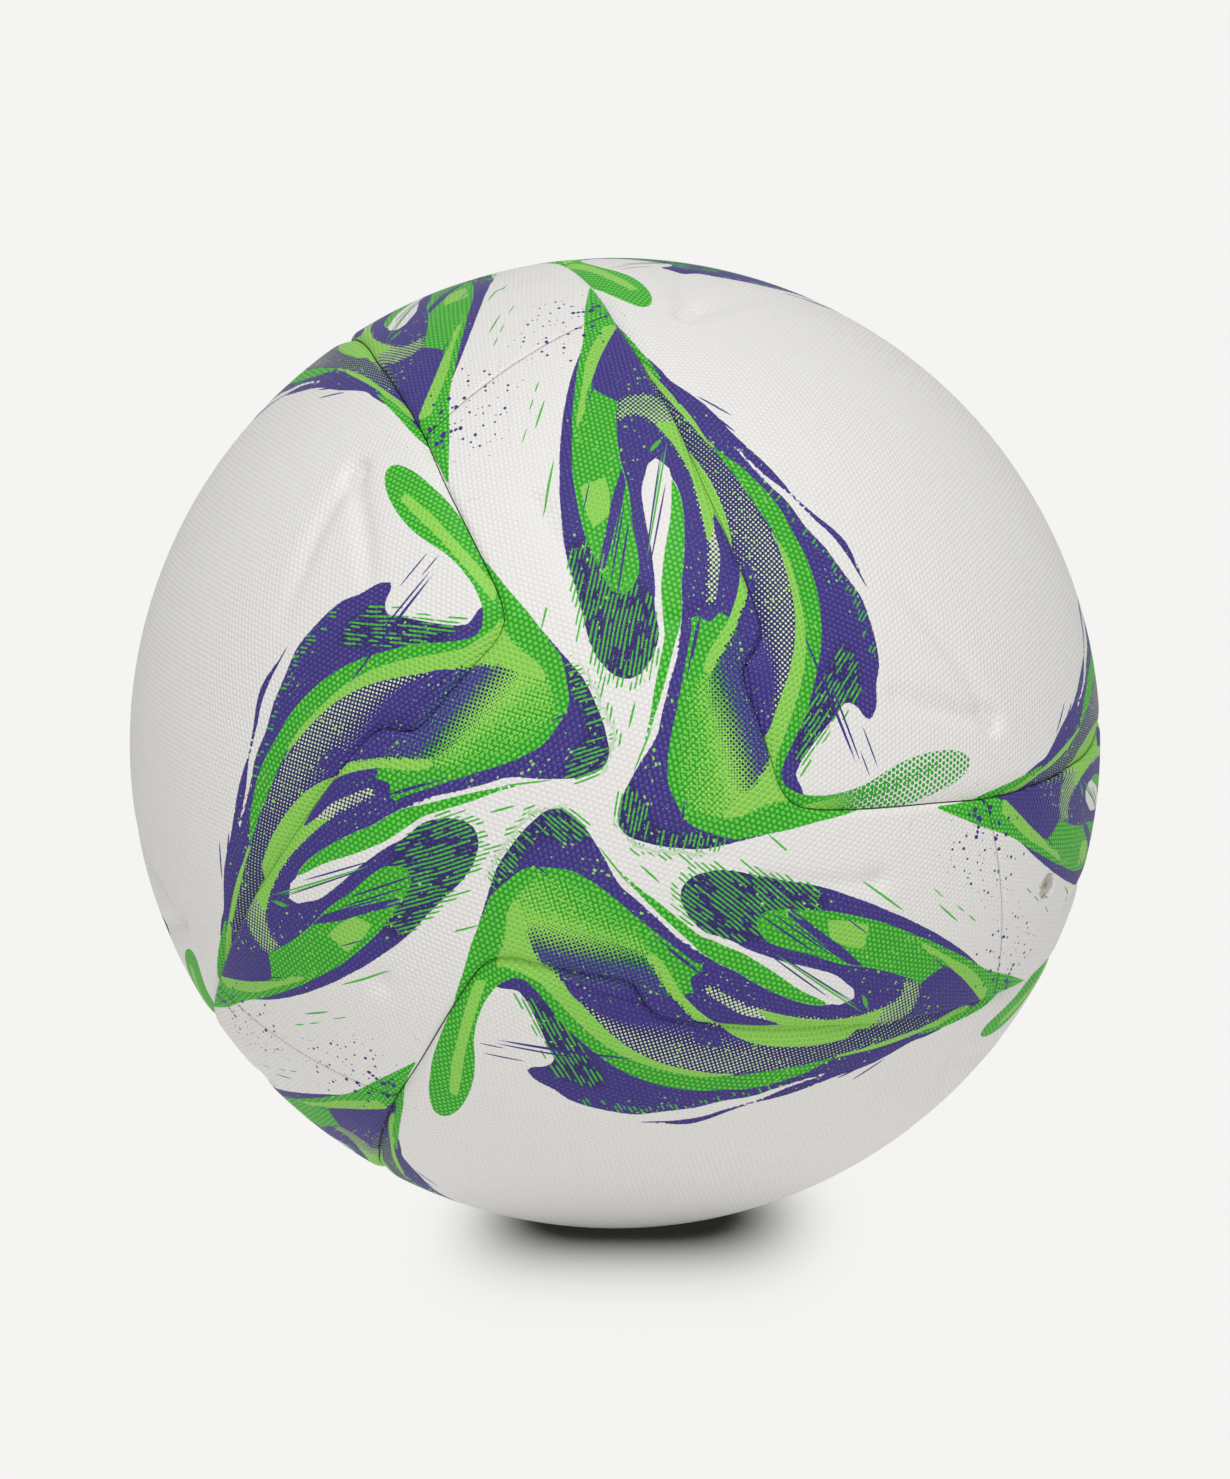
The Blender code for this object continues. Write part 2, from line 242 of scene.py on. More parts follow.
# Edges of the print's shapes, each as the map points it passes through
HOOD_EDGE = [
    (-15, -38), (-15, -25), (-14.8, -20), (-13.5, -15), (-12, -11), (-10.3, -7.5), (-8.5, -5),
    (-6, -3.8), (-4, -4), (-2, -4.8), (0, -6), (5, -10.2), (10, -15), (15, -17.4), (20, -19.9),
    (25, -22.6), (30, -24.5), (33, -25.5),
]
LENS_TOP = [
    (5, -10.3), (10, -12.6), (15, -14.9), (20, -16.8), (25, -19), (30, -21), (35, -21.8), (40, -22.5),
    (45, -24), (50, -25.8), (55, -27.8), (60, -29.2), (64, -30.1),
]
LENS_BOTTOM = [
    (64, -30.6), (60, -31.2), (55, -30.8), (50, -29.8), (45, -28.5), (40, -26.9), (33, -25.4),
    (28, -22.8), (20, -18.8), (10, -13.2), (5, -10.3),
]
PAISLEY_TOP = [
    (22.7, -12.1), (24, -9.3), (26.5, -7.5), (29, -6.3), (33, -5.5), (40, -5.2), (45, -4.8), (50, -4.3),
    (55, -4.3), (60, -4.7), (65, -5.2), (70, -6), (75, -6.8), (80, -7.9), (85, -9.1), (90, -10.6),
    (95, -12.3), (100, -14.3), (105, -16.7),
]
SLOT_EDGE = [
    (23.3, -14.5), (25.5, -17), (28, -18.8), (30, -19.8), (33, -20.3), (37, -20.4), (40, -21.2),
    (45, -21.9), (50, -22.3), (55, -22.4), (60, -22.7), (63, -23.1), (66.3, -24.6), (68.8, -25.8),
    (69.9, -27.8), (69.2, -29.2), (67, -30.2), (64, -30.3),
]
PURPLE_TIP = [(108, -20), (114.6, -27.9), (106, -31)]
WING_EDGE = [
    (4.2, -64.5), (7, -66.7), (11.3, -67.7), (15, -69.4), (18, -70), (22, -70.1), (26, -70),
    (29.2, -69.7), (32.2, -69), (35, -67.7), (40, -65.5), (43.3, -64.2), (46, -62.6), (49.2, -60.7),
    (51.7, -59.7), (54.6, -58.6), (57, -57.4), (60, -55.3), (63.3, -53.4), (66, -51.8), (68.8, -50.5),
    (71.7, -48.8),
]
STREAK_TOP = [
    (71, -50), (63.8, -54.2), (58, -58.8), (54.2, -61.1), (50, -63.8), (46.2, -66.5), (42, -68.4),
    (36.2, -70.7),
]
STREAK_BOTTOM = [
    (36.2, -71), (45, -69), (53, -62.9), (57.5, -59.9), (62, -57.8), (66.2, -55.5), (70, -53.1),
]
WING_TIP = [
    (70, -53.1), (75.4, -49.7), (80, -47.6), (84.5, -45), (88.5, -42), (90.8, -40.2), (93.2, -38.6),
    (96.2, -37.5), (99.1, -36.2), (101, -35.3),
]
EYE_EDGE = [
    (4.2, -64.5), (5.5, -63), (7.2, -62.4), (8.8, -60.9), (9.2, -59.3), (8.2, -57.6), (6.7, -55.9),
    (3, -51), (0, -47.4), (-1.5, -46), (-2.5, -45.3), (-4, -45.3), (-6, -45.8), (-7.5, -46.1),
]
DROP = [
    (-15, -34), (-15.3, -38), (-15.3, -45), (-15.5, -50), (-15.6, -55), (-16.3, -61), (-16.9, -70),
    (-16.6, -75), (-16, -80), (-15.4, -83), (-14.3, -86), (-13.5, -87.6), (-11.8, -88.4),
    (-10.3, -87.8), (-9.1, -86.3), (-8, -84.2), (-7.2, -81.5), (-6.6, -77.5), (-6.5, -73.5),
    (-6.8, -69.7), (-7.7, -65.5), (-8.9, -61.2), (-9.4, -57), (-9.3, -53.5), (-8.9, -50), (-8, -47),
    (-7.4, -45.5),
]
STREAM_TOP = [
    (-8, -43.5), (-7.2, -42.2), (-5.3, -40.9), (-3.3, -40.6), (-1, -40.8), (1.3, -41.8), (6.3, -44.9),
    (12, -48.6), (18, -51.8), (24, -53.8), (28, -54.5), (33, -54.8), (41, -54.8), (47, -53.6),
    (53, -51.5), (60, -49), (66, -46.8), (72, -44),
]
STREAM_BOTTOM = [
    (72, -44.7), (69, -47), (66, -49.7), (63, -51.5), (60, -53.4), (54.2, -55.9), (48.3, -57.3),
    (42, -58.8), (34, -59.2), (26, -58), (20, -56), (13, -52.4), (8, -49.5), (4, -46.1), (0, -43.2),
    (-2, -42.3), (-4.1, -42.4), (-5.7, -43.4), (-7.4, -45.5),
]
BAND_TOP = [
    (4, -38.4), (6, -40.2), (8, -42), (11, -43.7), (17, -47.6), (20, -49.3), (26, -51.8), (34, -53.3),
    (42, -53.2), (46.2, -52.8), (51.5, -51.5),
]
HOOK_INNER = [
    (35.2, -31.5), (40, -32.7), (45, -34.1), (50, -34.8), (55, -34.9), (60, -34.8), (65, -34.5),
    (70, -33.3), (74, -32.1), (78.3, -29.8), (81, -27.7), (82.4, -25), (82, -22.5), (81.5, -21.4),
]
HOOK_OUTER = [(86.6, -22.3), (87.6, -24.2), (88, -26.7), (87.8, -28.8), (87, -30.8), (84.9, -33.5)]
TONGUE_TOP = [(35, -33.3), (40, -35.1), (45, -36.6), (50, -36.7), (55.3, -37.3)]
TONGUE_BOTTOM = [
    (55.3, -37.3), (50, -39), (45, -39.8), (41, -40.2), (36, -38.2), (33, -36.4), (31, -34.6),
]
RIBBON_TOP = [
    (21.7, -27.4), (25, -29.5), (27.5, -32), (30, -34.5), (33, -36.6), (36, -38.3), (40, -39.9),
    (42, -40.6),
]
RIBBON_BOTTOM = [
    (36, -40.9), (33.3, -39.4), (30.4, -37.4), (28, -35.8), (25, -33.2), (22, -30.3), (20, -28.7),
]
GREEN_HOOD_TOP = [
    (-14.5, -27), (-13.3, -24), (-12, -22), (-10, -19), (-8, -17.4), (-5.6, -16.6), (0, -15.5),
    (5, -16.4), (10, -18.2), (15, -20.5), (20, -22.6), (25, -24.7), (30, -26.8), (32.7, -27.4),
]
LENS2_TOP = [
    (40.4, -14.6), (41.5, -12.5), (45, -11), (50, -9.9), (55, -9), (60, -8.7), (65, -8.7), (70, -8.9),
    (75, -9.6), (80, -10.5), (85, -11.3), (90, -12.5), (95, -13.7), (100, -15), (105, -16.6),
    (110, -17.9), (115, -18.8), (120, -19.6), (125, -20.8), (130, -22), (134.5, -23.2),
]
LENS2_BOTTOM = [
    (134.5, -23.2), (132, -23.8), (127, -24.9), (122, -26.6), (118.5, -28.6), (115, -30.2), (110, -32),
    (105, -33.7), (100, -35.3), (96, -36.7),
]
LENS2_INSIDE = [
    (99, -35), (104, -32.5), (109, -30.3), (114.6, -27.9), (110, -25.2), (105, -22.4), (99, -18.8),
    (92, -17.5), (86.6, -22.3), (84, -21.5), (80, -20.8), (72, -20), (64, -20.3), (60, -20),
    (55, -19.4), (50, -19.4), (45, -18.8), (43.2, -18), (41.2, -16.5),
]
TIP_LIGHT_TOP = [
    (80, -11.2), (85, -12.5), (90, -14), (95, -15.5), (100, -16.8), (105, -19), (110, -21.9),
    (113, -23.5),
]
TIP_LIGHT_BOTTOM = [
    (113, -27.5), (110, -25.7), (105, -22.7), (100, -20), (95, -17.8), (92, -16.2), (89, -15),
    (86, -14.5), (80, -11.2),
]
UNDER_ARM = [
    (40.5, -40), (43, -41.6), (46, -42.6), (50, -43.3), (55, -43.3), (60, -42.7), (65, -41.7),
    (70, -40), (73.3, -38.5), (76.6, -34.5),
]
THIN_TOP = [
    (72, -43.8), (80, -40.5), (85, -38.4), (90.3, -36.3), (94.5, -34.8), (98.3, -33.1),
    (103.7, -30.6), (108, -29.2),
]
THIN_BOTTOM = [
    (112, -28.8), (110, -29.6), (107.8, -30.7), (104, -32), (99.1, -34.4), (95.3, -35.7),
    (90.3, -37.7), (85.3, -39.8), (80.3, -41.7), (76, -43.1), (72, -44.8),
]
TIP_GREEN_TOP = [(94, -36.2), (99.1, -34.4), (104, -32), (107.8, -30.4), (111, -29.4)]
TIP_GREEN_BOTTOM = [(115, -30.2), (110, -32), (104, -34), (97.4, -36), (94, -36.9)]

PRINT = {
    "purple": [
        outline(HOOD_EDGE, LENS_BOTTOM[-3::-1], SLOT_EDGE[::-1][:2], [(70, -28), (74, -26)],
                [(81, -21)], [(101, -17)], PURPLE_TIP, WING_TIP[::-1], [(70, -53.1), (71.7, -48.8)],
                WING_EDGE[::-1], EYE_EDGE, [(-9, -44), (-14, -38)]),
        outline(PAISLEY_TOP, PURPLE_TIP, [(100, -30)], [(80, -30)], SLOT_EDGE[::-1][3:]),
        outline(STREAK_TOP, STREAK_BOTTOM),
    ],
    "green": [
        outline(GREEN_HOOD_TOP, [(33, -29), (31, -31), (33, -34)], [(30, -36), (-12, -42)],
                [(-15, -34)]),
        outline(LENS_TOP, LENS_BOTTOM),
        outline(DROP, [(-5, -42), (-8, -38)]),
        outline(STREAM_TOP, STREAM_BOTTOM),
        outline(LENS2_TOP, LENS2_BOTTOM, LENS2_INSIDE),
        outline(TIP_GREEN_TOP, TIP_GREEN_BOTTOM),
    ],
    "light": [
        outline(RIBBON_TOP, RIBBON_BOTTOM),
        outline(BAND_TOP, STREAM_TOP[::-1][4:-5], [(-6, -40.6), (-9, -41.5), (-9, -37)]),
        outline([(-12.5, -47), (-12.7, -55), (-12.4, -65), (-12.3, -70), (-11, -79.3)],
                [(-9, -79.5), (-9.2, -74), (-10, -65), (-10.2, -55), (-10, -45)]),
        outline([(56, -11), (60, -10.3), (66.5, -10.1)], [(67.4, -15.9), (63, -16), (58.2, -14.9)]),
        outline(TIP_LIGHT_TOP, TIP_LIGHT_BOTTOM),
        outline(THIN_TOP, THIN_BOTTOM),
        outline(UNDER_ARM, [(60, -36), (45, -38.5)]),
        outline([(47, -34.4), (55, -34.9), (65, -34.5), (74, -32.1), (79, -29.4)],
                [(79, -36), (60, -38.5), (55.3, -37.4), (51, -36.5)]),
        outline([(-8.5, -38.5), (-9, -33), (-9.8, -30), (-9.8, -27), (-9.2, -25)],
                [(-6.8, -27), (-5.6, -30.3), (-4.2, -33), (-2, -35.2), (0, -37), (4, -38.6)],
                [(2, -41), (-6, -41)]),
    ],
    "over": [
        outline([(47, -10.3), (57.5, -14.6), (62, -16.3), (67, -18.8), (70, -20)],
                [(65, -20), (60, -17.9), (55, -15.6), (46, -11.5)]),
        outline(TONGUE_TOP, TONGUE_BOTTOM),
        outline([(35, -43.5), (38, -45.8), (40, -46.3), (42, -46.3), (44, -45.3)],
                [(42, -43.5), (40, -41.5), (36, -41.5)]),
    ],
}
HOOK_BAND = outline(
    HOOK_INNER, HOOK_OUTER, [(84.9, -34.5), (60, -38.5), (40, -41.5)], [(35, -33.3)],
)
UNDER_HALFTONE = outline(
    [(8, -41), *BAND_TOP[3:9], (51, -51.5), (60, -49), (72, -44), (85, -38.6), (104, -30.5)],
    [(110, -27), (80, -33), (40, -39), (20, -36), (5, -36)],
)
INNER_ZONE = outline(
    [(-9, -39), (-9.4, -33), (-9.8, -27), (-9.5, -24)],
    [(-7, -19.5), (-3, -17.6), (3, -18), (10, -20.5), (16, -23.2), (21, -27)],
    [(22, -30), (14, -33), (4, -39)],
)
SHADE_ZONE = outline(
    [(-5.4, -30.3), (-4, -33), (-2, -35), (0, -37), (4, -38.4)],
    [(5, -40), (20, -40), (36, -42.5), (36, -40.9)],
    RIBBON_BOTTOM[1:],
    [(17, -27.5), (5, -27.2), (-3, -28.3)],
)
HULL = np.array([
    (-18, -36), (-16, -2), (5, -2), (25, -3), (60, 3), (100, 0), (125, -6), (138, -20), (136, -26),
    (124, -32), (100, -45), (50, -74), (5, -75), (-8, -93), (-20, -91),
], dtype=float)
STROKE_ZONES = {
    "hatch": [
        outline([(-17, -27), (-16.5, -12), (-10, -2.5), (-2, -3), (3, -7.5), (-3, -10.5), (-8, -12.5),
                 (-12.5, -24)]),
        outline([(18.5, -12), (24, -5), (33, -3), (50, -3), (55, -8), (47, -16), (39, -20.8),
                 (28, -20.8), (21, -16)]),
    ],
    "comb": [
        outline([(-3, -45.5), (6, -46), (12.5, -52), (19, -57.5), (22.5, -63), (16, -65), (9, -63),
                 (6, -59.5), (1.5, -53), (-4, -48.5)]),
    ],
    "edge": [
        outline([(17, -71.5), (26, -71.5), (35, -69.5), (48, -63), (60, -56.5), (60, -53.5),
                 (46, -59.5), (35, -64.5), (25, -66), (17, -67.5)]),
    ],
}

# ---- the print's fields

MOTIF_REACH = math.radians(75.0)
HULL_REACH = 60.0
HULL_MARGIN = 9.0
HALFTONE_EDGE = smooth_line(BAND_TOP + [(62, -47.5), (72, -44), (90, -36.5)])


def within(places, zone, low=-0.15, high=0.15):
    """A smooth step from 0 outside a zone to 1 inside it, between two distances inside."""
    return ramp(signed_distance(places, zone), low, high)


def print_fields(directions):
    """The print's fields at directions: distances inside each ink, tones and coordinates."""
    count = len(directions)
    fields = {name: np.full(count, -FIELD_REACH) for name in PRINT}
    for name in ("dots", "fade", "shade", "splatter", *STROKE_ZONES):
        fields[name] = np.zeros(count)
    best = np.full(count, -1e9)
    motif = np.zeros((count, 2))
    for copy in COPIES:
        turned = directions @ copy
        near = np.flatnonzero(turned @ FRONT > math.cos(MOTIF_REACH))
        if not len(near):
            continue
        places = ARM_MAP.points(turned[near])
        hull = signed_distance(places, HULL, reach=HULL_REACH)
        closer = hull > best[near]
        best[near[closer]] = hull[closer]
        motif[near[closer]] = places[closer]
        chosen = hull > -HULL_MARGIN
        near, places = near[chosen], places[chosen]
        if not len(near):
            continue
        for name, shapes in PRINT.items():
            for shape in shapes:
                fields[name][near] = np.maximum(fields[name][near], signed_distance(places, shape))
        x, y = places[:, 0], places[:, 1]
        hook = within(places, HOOK_BAND)
        hook_tone = 0.42 + 0.26 * ramp(x, 38, 52) - 0.25 * ramp(x, 76, 86)
        under = within(places, UNDER_HALFTONE)
        from_band = distance_to_line(places, HALFTONE_EDGE)
        under_reach = 0.5 + 8.5 * ramp(x, 10, 36)
        under_tone = ramp(from_band / under_reach, 1.3, 0.5) * (0.25 + 0.07 * ramp(from_band, 6.0, 0.0))
        under_tone = under_tone * (1.0 - 0.5 * ramp(x, 46, 64))
        inner = within(places, INNER_ZONE, -0.4, 1.2)
        shade = within(places, SHADE_ZONE)
        shade_depth = (-27.3 - y + 0.12 * x) / 8.0
        inner_tone = 0.14 + 0.40 * ramp(y + 0.55 * x, -16.0, -30.0) + 0.36 * ramp(shade_depth, -0.4, 0.2)
        tones = {
            "dots": np.maximum(hook * hook_tone, under * under_tone),
            "fade": inner * inner_tone,
            "shade": shade * np.clip(shade_depth, 0.0, 1.0) ** 1.3,
            "splatter": np.maximum(
                ramp(np.hypot(x - 115, y + 15), 24, 3),
                1.7 * ramp(np.hypot((x - 117) / 1.7, y + 22.5), 6.5, 2.5),
            ),
        }
        for name, zones in STROKE_ZONES.items():
            tones[name] = np.max([within(places, zone, -0.8, 1.6) for zone in zones], axis=0)
        for name, tone in tones.items():
            fields[name][near] = np.maximum(fields[name][near], tone)
    fields["motif"] = motif
    return fields


# ---- panel shapes


def seam_directions():
    """The seam as a smooth line of directions, from joint to joint."""
    start = ARM_MAP.directions([SEAM_START])[0]
    middle = ARM_MAP.directions(SEAM_POINTS)
    points = np.concatenate([[start], middle, [TRIANGLE_THIRD @ start]])
    return unit_rows(smooth_line(points * BALL_RADIUS))


SEAM = seam_directions()


def butt_directions():
    """The butt joint as a line of directions, from the seam's start to its half-turn image."""
    start = SEAM[0]
    end = HALF_TURN @ start
    angle = math.acos(start @ end)
    steps = max(2, round(angle * BALL_RADIUS / OUTLINE_STEP))
    parts = np.arange(1, steps)[:, None] / steps
    return (np.sin((1 - parts) * angle) * start + np.sin(parts * angle) * end) / math.sin(angle)


BUTT = butt_directions()


def armed_outline():
    """The front panel's outline as directions, and which of them lie on a long seam."""
    parts = []
    turn = np.eye(3)
    for _ in range(3):
        parts.append((np.concatenate([SEAM[:1], BUTT]) @ turn.T, False))
        turn = ONE_THIRD @ turn
        parts.append((SEAM[:0:-1] @ turn.T, True))
    return join_parts(parts)


def triangle_outline():
    """The lower panel's outline as directions, and which of them lie on a long seam."""
    parts = []
    turn = np.eye(3)
    for _ in range(3):
        parts.append((SEAM[:-1] @ turn.T, True))
        turn = TRIANGLE_THIRD @ turn
    return join_parts(parts)


def join_parts(parts):
    """Runs of directions joined into one outline, with a flag for each direction."""
    directions = np.concatenate([run for run, _ in parts])
    flags = np.concatenate([np.full(len(run), flag) for run, flag in parts])
    return directions, flags


def inset(line, distance):
    """A counterclockwise outline moved inwards."""
    before = unit_rows(line - np.roll(line, 1, axis=0))
    after = unit_rows(np.roll(line, -1, axis=0) - line)
    left = np.stack([-before[:, 1], before[:, 0]], axis=1)
    right = np.stack([-after[:, 1], after[:, 0]], axis=1)
    spread = np.maximum(0.6, 1.0 + (left * right).sum(axis=1))
    moved = line + distance * (left + right) / spread[:, None]
    if distance < 0.25 * OUTLINE_STEP:
        return moved
    return moved[distance_to_line(moved, line, closed=True) > 0.999 * distance]


def grid_places(line, step, margin):
    """Places of a triangular grid well inside an outline."""
    reach = np.abs(line).max() + step
    rows = np.arange(-reach, reach, step * math.sqrt(3.0) / 2.0)
    columns = np.arange(-reach, reach, step)
    places = np.array([(x + 0.5 * step * (row % 2), y) for row, y in enumerate(rows) for x in columns])
    places = places[is_inside(places, line)]
    return places[distance_to_line(places, line, closed=True) > margin]


def triangulate(rings, loose, hole=None):
    """Triangles that fill the first ring, with edges along each ring and nothing in the hole."""
    closed = rings if hole is None else rings + [hole]
    places = np.concatenate(closed + [loose])
    edges = []
    first = 0
    for ring in closed:
        count = len(ring)
        edges += [(first + index, first + (index + 1) % count) for index in range(count)]
        first += count
    points = [Vector(place) for place in places.tolist()]
    result = delaunay_2d_cdt(points, edges, [list(range(len(rings[0])))], 1, 1e-7)
    if len(result[0]) != len(places):
        raise ValueError("the rings of a panel cross each other")
    order = np.array([originals[0] for originals in result[3]])
    triangles = order[np.array([list(face) for face in result[2]])]
    if hole is not None:
        middle = places[triangles].mean(axis=1) - hole.mean(axis=0)
        triangles = triangles[np.hypot(middle[:, 0], middle[:, 1]) > VALVE_HOLE_RADIUS * 0.98]
    return places, triangles


def three_turns(places):
    """Map places turned by none, one and two thirds of a circle."""
    for third in range(3):
        angle = -third * 2.0 * math.pi / 3.0
        turn = np.array([[math.cos(angle), -math.sin(angle)], [math.sin(angle), math.cos(angle)]])
        yield places @ turn.T


def dent(distance, width, depth):
    """A soft dent's depth at a distance from its middle."""
    return depth * np.exp(-((distance / width) ** 2))


def crease(places, points, width, depth):
    """The depth of a soft dent along a smooth line through points."""
    return dent(distance_to_line(places, smooth_line(points)), width, depth)


def relief_armed(places):
    """How deep the soft dents of an armed panel are, at places of its own map."""
    depth = np.zeros(len(places))
    for turned in three_turns(places):
        depth += crease(turned, [(65, 0), (55, -3), (47, -4.5), (40, -6)], 2.4, 0.70)
        depth += crease(turned, [(40, -6), (37, -14), (33, -22), (34, -32)], 1.6, 0.60)
        depth += dent(np.hypot(turned[:, 0] - 65, turned[:, 1]), 3.2, 0.55)
    return np.minimum(depth, DEEPEST_DENT)


def relief_triangle(places):
    """How deep the soft dents of a three-sided panel are, at places of its own map."""
    depth = np.zeros(len(places))
    for turned in three_turns(places):
        apex = np.hypot(turned[:, 0] - 47, turned[:, 1] - 49)
        crease_depth = 1.10 * ramp(apex, 46.0, 16.0)
        depth += dent(apex, 2.6, 0.95)
        depth += crease(turned, [(47, 49), (49, 35), (52, 22), (54, 10)], 2.5, crease_depth)
        depth += crease(turned, [(47, 49), (55, 43), (63, 36), (69, 29)], 2.5, crease_depth)
    return np.minimum(depth, DEEPEST_DENT)


def outline_runs(on_seam, wanted):
    """The runs of an outline's places that lie on a long seam, or those that don't."""
    count = len(on_seam)
    starts = np.flatnonzero((on_seam == wanted) & (np.roll(on_seam, 1) != wanted))
    if on_seam.all() and wanted:
        starts = [0]
    runs = []
    for first in starts:
        run = [first]
        while on_seam[run[-1] % count] == wanted and len(run) <= count:
            run.append(run[-1] + 1)
        runs.append(np.array(run) % count)
    return runs


def band_faces(near, far, count):
    """Four-sided faces between two closed runs of vertices, which start at near and far."""
    pairs = [(index, (index + 1) % count) for index in range(count)]
    return [[near + index, near + after, far + after, far + index] for index, after in pairs]


# How wide and how deep a skin's edge falls away, at a long seam and at a butt joint
SEAM_EDGES = {"armed": (1.5, 0.85), "triangle": (5.5, 1.25)}
BUTT_EDGE = (0.8, 0.22)


def edge_drop(gap, width, depth):
    """How far a skin's edge falls away, at a gap from the seam."""
    return depth * np.clip(1.0 - gap / width, 0.0, 1.0) ** 2


def panel_shape(surface_map, directions, on_seam, kind, with_hole):
    """A closed skin: map places, directions, radii and faces."""
    line = surface_map.points(directions)
    edge = inset(line, 0.5 * PANEL_GAP)
    rings = [edge] + [inset(line, 0.5 * PANEL_GAP + ring) for ring in EDGE_RINGS]
    loose = grid_places(rings[-1], MESH_STEP, 0.5 * MESH_STEP)
    coarse = grid_places(rings[-1], UNDERSIDE_STEP, 0.5 * UNDERSIDE_STEP)
    hole = None
    if with_hole:
        angles = np.arange(HOLE_SIDES) * 2.0 * math.pi / HOLE_SIDES
        circle = np.stack([np.cos(angles), np.sin(angles)], axis=1)
        hole = np.array(VALVE_PLACE) + VALVE_HOLE_RADIUS * circle
        loose = loose[np.hypot(*(loose - VALVE_PLACE).T) > VALVE_HOLE_RADIUS + 0.5]
        coarse = coarse[np.hypot(*(coarse - VALVE_PLACE).T) > VALVE_HOLE_RADIUS + 2.0]
    upper, upper_faces = triangulate(rings, loose, hole)
    lower, lower_faces = triangulate([edge], coarse, hole)

    seam_gap = np.full(len(upper), FAR)
    butt_gap = np.full(len(upper), FAR)
    for wanted, gaps in ((True, seam_gap), (False, butt_gap)):
        for run in outline_runs(on_seam, wanted):
            np.minimum(gaps, distance_to_line(upper, line[run]), out=gaps)
    seam_gap = np.maximum(seam_gap - 0.5 * PANEL_GAP, 0.0)
    butt_gap = np.maximum(butt_gap - 0.5 * PANEL_GAP, 0.0)
    drop = np.maximum(edge_drop(seam_gap, *SEAM_EDGES[kind]), edge_drop(butt_gap, *BUTT_EDGE))
    relief = relief_armed if kind == "armed" else relief_triangle
    upper_radius = BALL_RADIUS - drop - relief(upper)
    if with_hole:
        first_of_hole = sum(len(ring) for ring in rings)
        upper_radius[first_of_hole:first_of_hole + HOLE_SIDES] -= HOLE_ROUNDING
    count = len(edge)
    underside = BALL_RADIUS - relief(lower) - THINNEST_SKIN
    lower_radius = np.minimum(BALL_RADIUS - SKIN_THICKNESS, underside)
    lower_radius[:count] = np.minimum(lower_radius[:count], upper_radius[:count] - THINNEST_SKIN)

    offset = len(upper)
    faces = upper_faces.tolist()
    faces += (lower_faces[:, ::-1] + offset).tolist()
    faces += band_faces(offset, 0, count)
    if with_hole:
        faces += band_faces(first_of_hole, offset + count, HOLE_SIDES)
    flat = np.concatenate([upper, lower])
    radii = np.concatenate([upper_radius, lower_radius])
    return flat, surface_map.directions(flat), radii, faces


# ---- node arithmetic


def plug(tree, inputs, values):
    """Sets a node's inputs in order, from varying numbers or fixed ones."""
    for socket, value in zip(inputs, values):
        if isinstance(value, Number):
            tree.links.new(value.socket, socket)
        else:
            socket.default_value = value


class Number:
    """A varying number in a material's node tree, written as arithmetic."""

    def __init__(self, tree, socket):
        self.tree = tree
        self.socket = socket

    def math(self, operation, *others):
        """A Math node on this number and others."""
        node = self.tree.nodes.new("ShaderNodeMath")
        node.operation = operation
        plug(self.tree, node.inputs, (self, *others))
        return Number(self.tree, node.outputs[0])

    def __add__(self, other):
        return self.math("ADD", other)

    def __sub__(self, other):
        return self.math("SUBTRACT", other)

    def __mul__(self, other):
        return self.math("MULTIPLY", other)

    def __truediv__(self, other):
        return self.math("DIVIDE", other)

    def rest(self):
        """What is missing to one."""
        return self * -1.0 + 1.0

    def wrap(self):
        """The part beyond the nearest whole number."""
        return self.math("WRAP", 0.5, -0.5)

    def ramp(self, low, high):
        """A smooth step from 0 at low to 1 at high, which may themselves vary."""
        node = self.tree.nodes.new("ShaderNodeMapRange")
        node.interpolation_type = "SMOOTHSTEP"
        plug(self.tree, node.inputs, (self, low, high))
        return Number(self.tree, node.outputs[0])


